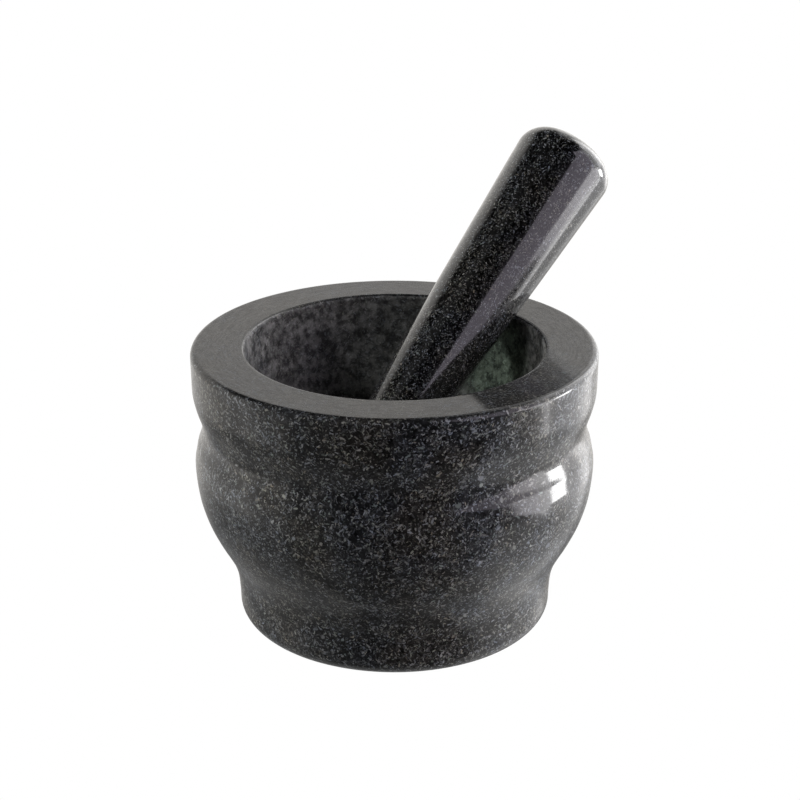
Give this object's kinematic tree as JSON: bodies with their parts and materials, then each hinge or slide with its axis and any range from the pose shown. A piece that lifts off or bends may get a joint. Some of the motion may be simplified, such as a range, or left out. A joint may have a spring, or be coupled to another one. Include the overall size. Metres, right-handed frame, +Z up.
{
  "type": "mortar and pestle",
  "caption": "Turned dark granite mortar with a thick flat rim, a shallow groove and a round bulge, and a loose tapered pestle leaning in its bowl.",
  "frame": {"origin": "centre of the mortar's flat underside, on the mortar's axis", "axes": "+Z up along the mortar's axis; the pestle leans towards +X and +Y, 44.2 degrees round from +X"},
  "size_m": [0.1464, 0.1417, 0.1637],
  "materials": {
    "mortar_granite": "polished",
    "pestle_granite": "polished"
  },
  "bodies": {
    "mortar": {"mortar": "mortar_granite"},
    "pestle": {"pestle": "pestle_granite"}
  },
  "joints": [
    {"name": "pestle_lift", "type": "slide", "parent": "mortar", "child": "pestle", "axis": [0.5328, 0.5181, 0.6691], "range_m": [0, 0.12]}
  ]
}
